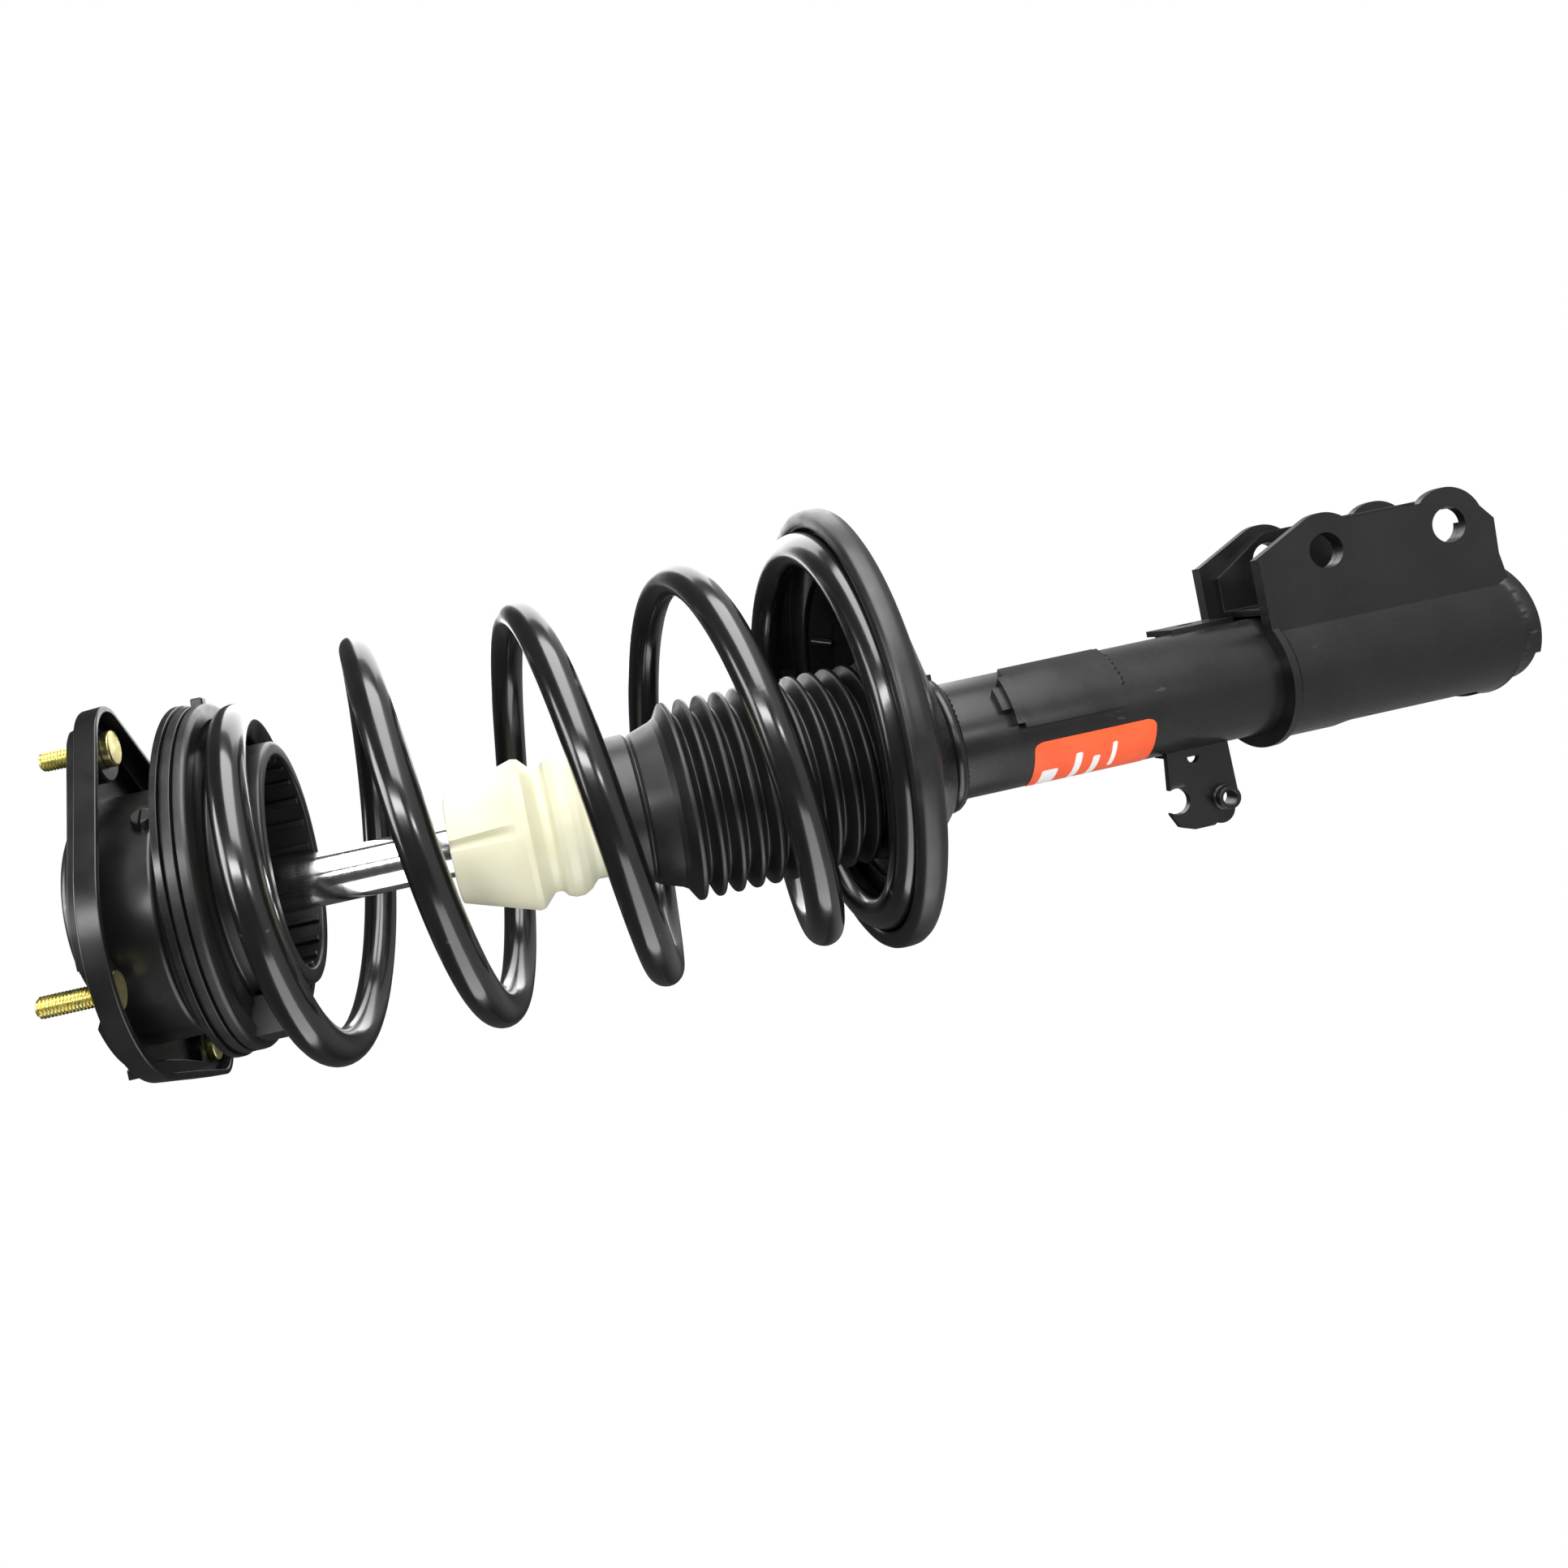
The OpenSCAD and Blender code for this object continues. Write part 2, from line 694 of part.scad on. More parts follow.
module hose_bracket() {
    color("#17191a") difference() {
        union() {
            side_sheet(hose_y, hose_y + 3) hose_outline();
            translate([-27, hose_y, -460]) cube([6, 14, 24]);
        }
        translate([0, 0, -500]) cylinder(r = tube_r, h = 100);
    }
}

module hose_weld_nut() {
    color("#1b1d1e") translate([-46.8, hose_y, -455]) rotate([90, 0, 0])
        difference() {
            union() {
                cylinder(r = 5.6, h = 2);
                cylinder(r = 4.9, h = 5);
            }
            translate([0, 0, -1]) cylinder(r = 3.1, h = 8);
        }
}

module tube_label() {
    color("#e8542c") ring_part(tube_r, tube_r + 0.25, -423, -370, 101, 168);
}

mount_plate();
mount_studs();
dome_cap();
mount_rubber();
bearing_outer_race();
bearing_balls();
ball_cage();
bearing_inner_race();
bearing_dust_seal();
rod_nut();
rod_washer();
seat_spacer();
upper_spring_seat();
upper_insulator();
coil_spring();
piston_rod();
bump_stop();
dust_boot();
lower_insulator();
lower_spring_seat();
strut_tube();
rod_seal();
rod_guide();
guide_bushing();
rebound_stop();
piston();
piston_band();
valve_shims();
piston_nut();
pressure_tube();
base_valve();
base_cup();
knuckle_clamp();
clamp_stiffener();
link_pad();
wire_tab();
hose_bracket();
hose_weld_nut();
tube_label();
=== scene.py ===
"""Looks of a suspension strut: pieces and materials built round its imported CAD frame.

Lengths in the piece functions are millimetres in the CAD frame: the rod's axis is Z, the mounting
face is z = 0, and the knuckle clamp's bolts are on the +X side.
"""
import json
import math

import bmesh
import bpy
from mathutils import Matrix, Vector, noise


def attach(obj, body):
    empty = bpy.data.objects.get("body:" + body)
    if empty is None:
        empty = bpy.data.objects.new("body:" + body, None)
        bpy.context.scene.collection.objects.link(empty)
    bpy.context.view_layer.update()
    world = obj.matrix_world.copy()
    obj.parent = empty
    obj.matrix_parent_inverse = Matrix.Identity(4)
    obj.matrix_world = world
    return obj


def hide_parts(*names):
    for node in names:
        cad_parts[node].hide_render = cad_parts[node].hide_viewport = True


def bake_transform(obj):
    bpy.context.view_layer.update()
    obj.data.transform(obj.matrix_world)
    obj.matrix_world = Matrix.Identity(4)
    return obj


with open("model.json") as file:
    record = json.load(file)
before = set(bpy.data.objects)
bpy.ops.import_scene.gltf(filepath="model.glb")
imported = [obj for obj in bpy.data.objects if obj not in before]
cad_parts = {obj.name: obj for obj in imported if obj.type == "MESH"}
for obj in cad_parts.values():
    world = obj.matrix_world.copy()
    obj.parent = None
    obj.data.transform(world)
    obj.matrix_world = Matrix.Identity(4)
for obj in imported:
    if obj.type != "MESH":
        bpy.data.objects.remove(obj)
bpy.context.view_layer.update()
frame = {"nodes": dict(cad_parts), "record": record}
record = frame["record"]
body_of = {n: b for b, members in record["behaviour"]["bodies"].items() for n in members}
slot_of = {s["node"]: s["material_slot"] for s in record["subparts"]}
scene = bpy.context.scene
MM = 0.001

# ---- sizes shared by several pieces, in millimetres ----

wire_r = 7.3
coil_r = 77.6
pigtail_r = 58.8
coil_turns = 5.3
coil_pitch = 66
coil_top = 52
coil_drop = 249
offset_top = 9.6
offset_low = 15.6
tube_r = 25
rod_r = 11
shank_r = 7
seat_z = -36
seat_plate_t = 10
dish_z = -307
neck_z = -337.5
plate_depth = 13.2
plate_t = 2.8
pad_h = 4.5
ledge_z = -pad_h - plate_t
drum_r = 50
drum_hole_r = 47.5
drum_low = -25
pilot_r = 46.4
dome_x = 6
dome_r = 40
dome_h = 13
stud_len = 17.6
stud_head_h = 3.4
# Radius from the rod axis and angle in degrees of each stud
studs = [(70.6, -10.8), (62.3, -104), (74, 151.5)]
# Centre and radius of each round corner of the mount plate
lobes = [(69, -22.3, 16.8), (-1, -12.5, 60.5), (-65.5, 35.5, 13.5), (0, 0, 60)]


# ---- mesh helpers ----

def finish_mesh(name, points, faces, sharp=32):
    """Object from points in millimetres, with merged doubles, outward normals and smooth shading."""
    mesh = bpy.data.meshes.new(name)
    mesh.from_pydata([Vector(p) * MM for p in points], [], faces)
    bm = bmesh.new()
    bm.from_mesh(mesh)
    bmesh.ops.remove_doubles(bm, verts=bm.verts, dist=1e-7)
    bmesh.ops.recalc_face_normals(bm, faces=bm.faces)
    bm.to_mesh(mesh)
    bm.free()
    mesh.shade_smooth()
    mesh.set_sharp_from_angle(angle=math.radians(sharp))
    piece = bpy.data.objects.new(name, mesh)
    scene.collection.objects.link(piece)
    weighted = piece.modifiers.new("weighted normals", "WEIGHTED_NORMAL")
    weighted.keep_sharp = True
    return piece


def loft(name, rings, closed=False, sharp=32):
    """Skin over equal rings of points. The last ring joins the first, or both ends are capped."""
    count = len(rings[0])
    points = [p for ring in rings for p in ring]
    faces = []
    for i in range(len(rings) if closed else len(rings) - 1):
        here, there = i * count, (i + 1) % len(rings) * count
        for j in range(count):
            k = (j + 1) % count
            faces.append((here + j, here + k, there + k, there + j))
    if not closed:
        faces.append(tuple(range(count)))
        faces.append(tuple(range(len(points) - 1, len(points) - count - 1, -1)))
    return finish_mesh(name, points, faces, sharp)


def rounded(corners, steps=4):
    """Closed outline from corners (across, up, radius), each rounded off by its radius."""
    outline = []
    for i, (across, up, radius) in enumerate(corners):
        here = Vector((across, up))
        back = Vector(corners[i - 1][:2]) - here
        on = Vector(corners[(i + 1) % len(corners)][:2]) - here
        if radius == 0:
            outline.append(here)
            continue
        cut = radius / math.tan(back.angle(on) / 2)
        cut = min(cut, 0.48 * back.length, 0.48 * on.length)
        start = here + back.normalized() * cut
        end = here + on.normalized() * cut
        for k in range(steps + 1):
            t = k / steps
            outline.append(start * (1 - t) ** 2 + here * 2 * t * (1 - t) + end * t ** 2)
    return outline


def turned(name, corners, centre=(0, 0), steps=144, corner_steps=4):
    """Solid of revolution about a line parallel to Z, from rounded corners (radius, height)."""
    rings = []
    for r, z in rounded(corners, corner_steps):
        rings.append([(centre[0] + r * math.cos(a), centre[1] + r * math.sin(a), z)
                      for a in (2 * math.pi * j / steps for j in range(steps))])
    return loft(name, rings, closed=True)


def sector(name, corners, start, end, centre=(0, 0), steps=24):
    """Part of a solid of revolution between two angles in degrees, counted from +X towards +Y."""
    outline = rounded(corners)
    rings = []
    for k in range(steps + 1):
        a = math.radians(start + (end - start) * k / steps)
        rings.append([(centre[0] + r * math.cos(a), centre[1] + r * math.sin(a), z)
                      for r, z in outline])
    return loft(name, rings)


def bevelled(piece, width):
    """Rounds a piece's edges of over 35 degrees by a width in millimetres."""
    edge = piece.modifiers.new("rounded edges", "BEVEL")
    edge.width = width * MM
    edge.segments = 3
    edge.limit_method = "ANGLE"
    edge.angle_limit = math.radians(35)
    edge.harden_normals = False
    while piece.modifiers[0] != edge:
        piece.modifiers.move(piece.modifiers.find(edge.name), 0)
    return piece


def block(name, low, high, width, turn=0, about=(0, 0)):
    """Box between two corners with rounded edges, turned in degrees about an upright line."""
    (x0, y0, z0), (x1, y1, z1) = low, high
    rings = [[(x0, y0, z), (x1, y0, z), (x1, y1, z), (x0, y1, z)] for z in (z0, z1)]
    piece = bevelled(loft(name, rings), width)
    spin = Matrix.Rotation(math.radians(turn), 4, "Z")
    place = Matrix.Translation(Vector((*about, 0)) * MM)
    piece.data.transform(place @ spin)
    return piece


def softened(node, width):
    """Copy of a CAD node's shape with its edges rounded by a width in millimetres."""
    bm = bmesh.new()
    bm.from_mesh(frame["nodes"][node].data)
    bmesh.ops.remove_doubles(bm, verts=bm.verts, dist=2e-6)
    bmesh.ops.dissolve_limit(bm, angle_limit=math.radians(1.0), verts=bm.verts, edges=bm.edges)
    bm.verts.index_update()
    points = [v.co / MM for v in bm.verts]
    faces = [[v.index for v in f.verts] for f in bm.faces]
    bm.free()
    return bevelled(finish_mesh(node + "_finished", points, faces), width)


def joined(name, pieces):
    """One piece from several, with their modifiers applied."""
    bm = bmesh.new()
    for piece in pieces:
        shape = piece.evaluated_get(bpy.context.evaluated_depsgraph_get())
        bm.from_mesh(shape.to_mesh())
        shape.to_mesh_clear()
        bpy.data.objects.remove(piece)
    bm.verts.index_update()
    points = [v.co / MM for v in bm.verts]
    faces = [[v.index for v in f.verts] for f in bm.faces]
    bm.free()
    return finish_mesh(name, points, faces)


# ---- materials ----

def start_material(name):
    """New material, its node tree and its shader."""
    made = bpy.data.materials.new(name)
    made.use_nodes = True
    return made, made.node_tree, made.node_tree.nodes["Principled BSDF"]


def grain(tree, size, detail=3.0, stretch=(1, 1, 1)):
    """Noise over the piece, with spots of about a size in millimetres."""
    place = tree.nodes.new("ShaderNodeTexCoord")
    scale = tree.nodes.new("ShaderNodeMapping")
    scale.inputs["Scale"].default_value = stretch
    spots = tree.nodes.new("ShaderNodeTexNoise")
    spots.inputs["Scale"].default_value = 1000 / size
    spots.inputs["Detail"].default_value = detail
    tree.links.new(place.outputs["Object"], scale.inputs["Vector"])
    tree.links.new(scale.outputs["Vector"], spots.inputs["Vector"])
    return spots.outputs["Fac"]


def ramp(tree, value, stops):
    """Colour along a value, from stops (place, colour or grey)."""
    made = tree.nodes.new("ShaderNodeValToRGB")
    while len(made.color_ramp.elements) < len(stops):
        made.color_ramp.elements.new(0.5)
    for element, (place, colour) in zip(made.color_ramp.elements, stops):
        if isinstance(colour, (int, float)):
            colour = (colour, colour, colour)
        element.position = place
        element.color = (*colour, 1)
    tree.links.new(value, made.inputs["Fac"])
    return made.outputs["Color"]


def mixed(tree, share, first, second):
    """Colour between two colours, by a share from 0 to 1."""
    made = tree.nodes.new("ShaderNodeMix")
    made.data_type = "RGBA"
    tree.links.new(share, made.inputs["Factor"])
    tree.links.new(first, made.inputs["A"])
    tree.links.new(second, made.inputs["B"])
    return made.outputs["Result"]


def bump(tree, bsdf, layers):
    """Chains bumps, each (height, strength, distance in millimetres), into the shader."""
    normal = None
    for height, strength, distance in layers:
        made = tree.nodes.new("ShaderNodeBump")
        made.inputs["Strength"].default_value = strength
        made.inputs["Distance"].default_value = distance * MM
        tree.links.new(height, made.inputs["Height"])
        if normal is not None:
            tree.links.new(normal, made.inputs["Normal"])
        normal = made.outputs["Normal"]
    tree.links.new(normal, bsdf.inputs["Normal"])


def painted(name, colour, rough, dust=0.12, peel=0.35, coat=0.0):
    """Black coated steel: cloudy colour, orange peel, fine grain, dust specks and pale scuffs."""
    made, tree, bsdf = start_material(name)
    dark = [c * 0.75 for c in colour]
    light = [c * 1.35 for c in colour]
    clouds = ramp(tree, grain(tree, 26, 4), [(0.3, dark), (0.7, light)])
    specks = ramp(tree, grain(tree, 0.9, 2), [(0.72, 0), (0.80, dust)])
    pale = ramp(tree, grain(tree, 500, 0), [(0.0, (0.20, 0.19, 0.17)), (1.0, (0.24, 0.22, 0.20))])
    dusty = mixed(tree, specks, clouds, pale)
    marks = ramp(tree, grain(tree, 7, 6, (1, 1, 0.35)), [(0.70, 0), (0.76, 0.5)])
    worn = ramp(tree, grain(tree, 480, 0), [(0.0, (0.10, 0.10, 0.095)), (1.0, (0.12, 0.12, 0.115))])
    tree.links.new(mixed(tree, marks, dusty, worn), bsdf.inputs["Base Color"])
    tree.links.new(ramp(tree, grain(tree, 14, 5), [(0.3, rough * 0.85), (0.7, rough * 1.25)]),
                   bsdf.inputs["Roughness"])
    bump(tree, bsdf, [(grain(tree, 3.2, 2), peel, 0.05), (grain(tree, 0.7, 3), peel, 0.02)])
    bsdf.inputs["Coat Weight"].default_value = coat
    bsdf.inputs["Coat Roughness"].default_value = 0.12
    return made


def rubbery(name, colour, rough, bloom=1.5):
    """Moulded rubber: pale bloom in patches, soft skin texture."""
    made, tree, bsdf = start_material(name)
    pale = [c * bloom for c in colour]
    palest = [c * 2 * bloom for c in colour]
    clouds = ramp(tree, grain(tree, 18, 5), [(0.3, colour), (0.62, pale), (0.8, palest)])
    tree.links.new(clouds, bsdf.inputs["Base Color"])
    tree.links.new(ramp(tree, grain(tree, 9, 4), [(0.3, rough * 0.85), (0.7, rough * 1.15)]),
                   bsdf.inputs["Roughness"])
    bump(tree, bsdf, [(grain(tree, 1.6, 3), 0.4, 0.06), (grain(tree, 0.5, 2), 0.3, 0.02)])
    return made


def metallic(name, low, high, rough, brushed=(1, 1, 1), size=6.0):
    """Bare or plated metal with drifting colour and fine tool marks."""
    made, tree, bsdf = start_material(name)
    tree.links.new(ramp(tree, grain(tree, size, 4), [(0.32, low), (0.68, high)]),
                   bsdf.inputs["Base Color"])
    tree.links.new(ramp(tree, grain(tree, 3, 5, brushed), [(0.3, rough * 0.8), (0.7, rough * 1.3)]),
                   bsdf.inputs["Roughness"])
    bump(tree, bsdf, [(grain(tree, 0.8, 3, brushed), 0.15, 0.01)])
    bsdf.inputs["Metallic"].default_value = 1.0
    return made


def foam(name):
    """Cream moulded polyurethane: soft yellowing, dirt in spots, faint skin."""
    made, tree, bsdf = start_material(name)
    clouds = ramp(tree, grain(tree, 22, 4), [(0.3, (0.66, 0.64, 0.45)), (0.7, (0.73, 0.72, 0.56))])
    spots = ramp(tree, grain(tree, 2.4, 4), [(0.70, 0), (0.78, 0.35)])
    dirt = ramp(tree, grain(tree, 300, 0), [(0.0, (0.42, 0.36, 0.22)), (1.0, (0.48, 0.42, 0.27))])
    tree.links.new(mixed(tree, spots, clouds, dirt), bsdf.inputs["Base Color"])
    tree.links.new(ramp(tree, grain(tree, 6, 4), [(0.3, 0.34), (0.7, 0.5)]), bsdf.inputs["Roughness"])
    bump(tree, bsdf, [(grain(tree, 2.2, 3), 0.3, 0.08)])
    bsdf.inputs["Subsurface Weight"].default_value = 0.12
    bsdf.inputs["Subsurface Radius"].default_value = (0.004, 0.003, 0.0015)
    return made


def film(name, low, high):
    """Printed plastic film with slight waves."""
    made, tree, bsdf = start_material(name)
    tree.links.new(ramp(tree, grain(tree, 12, 3), [(0.3, low), (0.7, high)]), bsdf.inputs["Base Color"])
    tree.links.new(ramp(tree, grain(tree, 5, 3), [(0.3, 0.3), (0.7, 0.42)]), bsdf.inputs["Roughness"])
    bump(tree, bsdf, [(grain(tree, 8, 2), 0.2, 0.08)])
    return made


materials = {
    "mount_paint": painted("mount_paint", (0.007, 0.0072, 0.0074), 0.30),
    "cap_paint": painted("cap_paint", (0.007, 0.007, 0.0074), 0.28),
    "seat_paint": painted("seat_paint", (0.006, 0.006, 0.0062), 0.26),
    "tube_paint": painted("tube_paint", (0.006, 0.0061, 0.006), 0.27, dust=0.2, peel=0.5),
    "spring_paint": painted("spring_paint", (0.006, 0.006, 0.006), 0.20, dust=0.08, peel=0.2, coat=0.5),
    "mount_rubber": rubbery("mount_rubber", (0.004, 0.004, 0.004), 0.5),
    "seal_rubber": rubbery("seal_rubber", (0.005, 0.005, 0.0053), 0.34),
    "insulator_rubber": rubbery("insulator_rubber", (0.006, 0.006, 0.006), 0.38),
    "boot_rubber": rubbery("boot_rubber", (0.007, 0.007, 0.0074), 0.40, bloom=1.3),
    "stop_foam": foam("stop_foam"),
    "zinc": metallic("zinc", (0.78, 0.66, 0.24), (0.62, 0.60, 0.28), 0.30, size=4.0),
    "rod_chrome": metallic("rod_chrome", (0.78, 0.79, 0.80), (0.86, 0.86, 0.87), 0.13, (0.2, 0.2, 1)),
    "bearing_steel": metallic("bearing_steel", (0.40, 0.41, 0.43), (0.47, 0.48, 0.50), 0.25),
    "ball_steel": metallic("ball_steel", (0.60, 0.61, 0.62), (0.66, 0.67, 0.68), 0.10),
    "cage_brass": metallic("cage_brass", (0.48, 0.34, 0.13), (0.56, 0.41, 0.17), 0.30),
    "plain_steel": metallic("plain_steel", (0.42, 0.43, 0.44), (0.50, 0.51, 0.52), 0.32),
    "sinter": metallic("sinter", (0.26, 0.27, 0.28), (0.34, 0.35, 0.36), 0.5, size=1.5),
    "bushing": rubbery("bushing", (0.06, 0.11, 0.07), 0.5),
    "band": rubbery("band", (0.05, 0.07, 0.055), 0.5),
    "label_film": film("label_film", (0.82, 0.085, 0.018), (0.92, 0.115, 0.028)),
}
print_white = film("print_white", (0.80, 0.79, 0.77), (0.88, 0.87, 0.85))


# ---- putting a piece on its body ----

def dress(piece, slot, body=None):
    """Gives the piece its material, and puts it on a body when one is named."""
    piece.data.materials.clear()
    piece.data.materials.append(materials[slot])
    if body:
        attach(piece, body)
    return piece


def stands_for(piece, node):
    """The piece is shown in place of a CAD node and moves with the node's body."""
    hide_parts(node)
    return dress(piece, slot_of[node], body_of[node])


def goes_with(piece, node):
    """The piece is extra detail in a CAD node's finish, on the node's body."""
    return dress(piece, slot_of[node], body_of[node])


# ---- top mount ----

def reach(angle, inset):
    """Distance from the rod axis to the plate's outline, drawn in by a distance, along a direction."""
    def edge(tilt):
        """Distance to the outline's tangent line whose normal is tilted from the direction."""
        a = angle + tilt
        x, y, r = max(lobes, key=lambda c: c[0] * math.cos(a) + c[1] * math.sin(a) + c[2])
        return (x * math.cos(a) + y * math.sin(a) + r - inset) / math.cos(tilt)
    return min(edge(math.radians(t / 2)) for t in range(-140, 141))


def recess(angle, radius):
    """Distance from the rod axis to the nearest stud's round recess along a direction."""
    nearest = math.inf
    for r, a in studs:
        off = math.radians(a) - angle
        side = r * math.sin(off)
        if abs(side) < radius and math.cos(off) > 0:
            nearest = min(nearest, r * math.cos(off) - math.sqrt(radius ** 2 - side ** 2))
    return nearest


# Directions from the rod axis in which the plate's profile is worked out
directions = [2 * math.pi * j / 480 for j in range(480)]


def plate_shell():
    """Stamped plate: raised pad with recesses at the studs, ledge, skirt and hollow underside."""
    pad_inset, recess_r = 6, 10
    pad_top = [(pad_inset + 0.9, 0), (pad_inset + 0.3, -0.35), (pad_inset, -1.0)]
    pad_foot = [(pad_inset - 0.6, -pad_h + 1.0), (pad_inset - 0.9, -pad_h + 0.4), (pad_inset - 1.5, -pad_h)]
    skirt = rounded([(3, -pad_h, 0), (0.6, -pad_h, 1.6), (0, -plate_depth, 0.7),
                     (plate_t, -plate_depth, 0.7), (plate_t + 0.4, ledge_z, 0.8)], 5)
    under = [(pad_inset + plate_t - 0.6, ledge_z), (pad_inset + plate_t, ledge_z + 0.6),
             (pad_inset + plate_t + 0.2, -plate_t)]
    outline = [reach(a, 0) for a in directions]
    profile = [(inset, z, recess_r + inset - pad_inset) for inset, z in pad_top + pad_foot]
    profile += [(inset, z, 0) for inset, z in skirt]
    profile += [(inset, z, recess_r + inset - pad_inset) for inset, z in under]
    rings = [[(drum_hole_r * math.cos(a), drum_hole_r * math.sin(a), 0) for a in directions]]
    for inset, z, cut in profile:
        ring = []
        for a, out in zip(directions, outline):
            r = max(drum_hole_r + 0.3, min(out - inset, recess(a, cut)))
            ring.append((r * math.cos(a), r * math.sin(a), z))
        rings.append(ring)
    rings.append([(drum_hole_r * math.cos(a), drum_hole_r * math.sin(a), -plate_t) for a in directions])
    return loft("plate_shell", rings, closed=True)


def plate_drum():
    """Drum under the plate, with its edge turned in round the rubber."""
    inner_r, inner_z = drum_r - 6, drum_low + 2
    return turned("plate_drum",
                  [(drum_hole_r, -plate_t, 0), (drum_r, -plate_t, 0), (drum_r, drum_low, 2.2),
                   (inner_r, drum_low, 0.5), (inner_r, inner_z, 0.5), (drum_hole_r, inner_z, 0.5)])


def stud(index, r, a):
    """Pressed-in stud: thread cut as a helix, chamfered tip, round head under the plate."""
    x, y = r * math.cos(math.radians(a)), r * math.sin(math.radians(a))
    pitch, sides, tip, root = 1.25, 36, stud_len, -3
    rings = []
    steps = int((tip - root) / pitch * 9)
    for i in range(steps + 1):
        z = root + (tip - root) * i / steps
        ring = []
        for j in range(sides):
            turn = j / sides
            wave = abs((z / pitch + turn) % 1 - 0.5) * 2
            cut = 0.72 * (1 - min(1, max(0, wave * 1.35 - 0.15)))
            outer = min(4 - cut, 2.9 + (tip - z) * 1.0)
            ring.append((x + outer * math.cos(2 * math.pi * turn),
                         y + outer * math.sin(2 * math.pi * turn), z))
        rings.append(ring)
    thread = loft(f"stud_thread_{index}", rings, sharp=80)
    head_z = ledge_z - stud_head_h
    shank = turned(f"stud_shank_{index}",
                   [(0, -2.5, 0), (4.2, -2.5, 0.5), (4.6, ledge_z, 0), (7.3, ledge_z, 0.3),
                    (7.3, head_z, 0.9), (0, head_z, 0)], (x, y), 64)
    return [thread, shank]


def mount_studs():
    """The three studs as one piece."""
    return joined("mount_studs_finished",
                  [p for i, (r, a) in enumerate(studs) for p in stud(i + 1, r, a)])


def dome_cap():
    """Domed cap over the rod nut, on a round pilot that sits in the plate's hole."""
    inner_r, inner_h, skirt_r = dome_r - 3.6, dome_h - 3, drum_hole_r - 0.1
    dome = turned("dome_top",
                  [(0, dome_h, 0), (dome_r, dome_h, 7), (dome_r, 1, 0.2), (inner_r, 1, 0),
                   (inner_r, inner_h, 1), (0, inner_h, 0)], (dome_x, 0))
    pilot = turned("dome_pilot",
                   [(30, 0.4, 0), (44, 0.4, 0), (44.5, -5, 0), (skirt_r, -5, 0.4),
                    (skirt_r, 0, 0), (pilot_r, 0, 0), (pilot_r, 2, 0.9), (30, 1.6, 0)])
    return joined("dome_cap_finished", [dome, pilot])


def dust_seal():
    """Flared rubber lip round the bearing."""
    return turned("bearing_dust_seal_finished",
                  [(44.6, drum_low, 0.4), (49.6, drum_low, 0.6), (58.5, -30.2, 0.5), (58.5, -31.4, 0.4),
                   (56.4, -31.4, 0.4), (48.6, -27, 0.5), (44.6, -27, 0.4)])


def plate_tab():
    """Small square locating tab on the plate's ledge."""
    return block("plate_tab", (-51.5, -44, ledge_z + 1), (-47.5, -40, -0.6), 0.5)


def rubber_plug():
    """Slotted round end of the mount's rubber, standing out through the drum's side."""
    turn, z, radius, root, tip = math.radians(-38), -21, 4.2, 49, 54
    halves = []
    for side in (0, 180):
        arc = [math.radians(side + 8 + 164 * k / 20) for k in range(21)]
        rings = []
        for out, size in ((root, 1), (tip - 1, 1), (tip - 0.3, 0.93), (tip, 0.82)):
            ring = []
            for q in arc:
                across, up = radius * size * math.cos(q), radius * size * math.sin(q)
                ring.append((out * math.cos(turn) - across * math.sin(turn),
                             out * math.sin(turn) + across * math.cos(turn), z + up))
            rings.append(ring)
        halves.append(loft(f"rubber_plug_half_{side}", rings))
    return joined("rubber_plug", halves)


stands_for(joined("mount_plate_finished", [plate_shell(), plate_drum(), plate_tab()]), "mount_plate")
goes_with(rubber_plug(), "mount_rubber")
stands_for(mount_studs(), "mount_studs")
stands_for(dome_cap(), "dome_cap")
stands_for(softened("mount_rubber", 0.8), "mount_rubber")
stands_for(dust_seal(), "bearing_dust_seal")
stands_for(softened("upper_spring_seat", 0.5), "upper_spring_seat")


# ---- upper insulator ----

def wire_groove(r, z, start, end, steps=14):
    """Points round a groove for the wire, centred on (r, z), between two angles in degrees."""
    angles = [math.radians(start + (end - start) * k / steps) for k in range(steps + 1)]
    return [(r + (wire_r + 0.3) * math.cos(a), z + (wire_r + 0.3) * math.sin(a), 0) for a in angles]


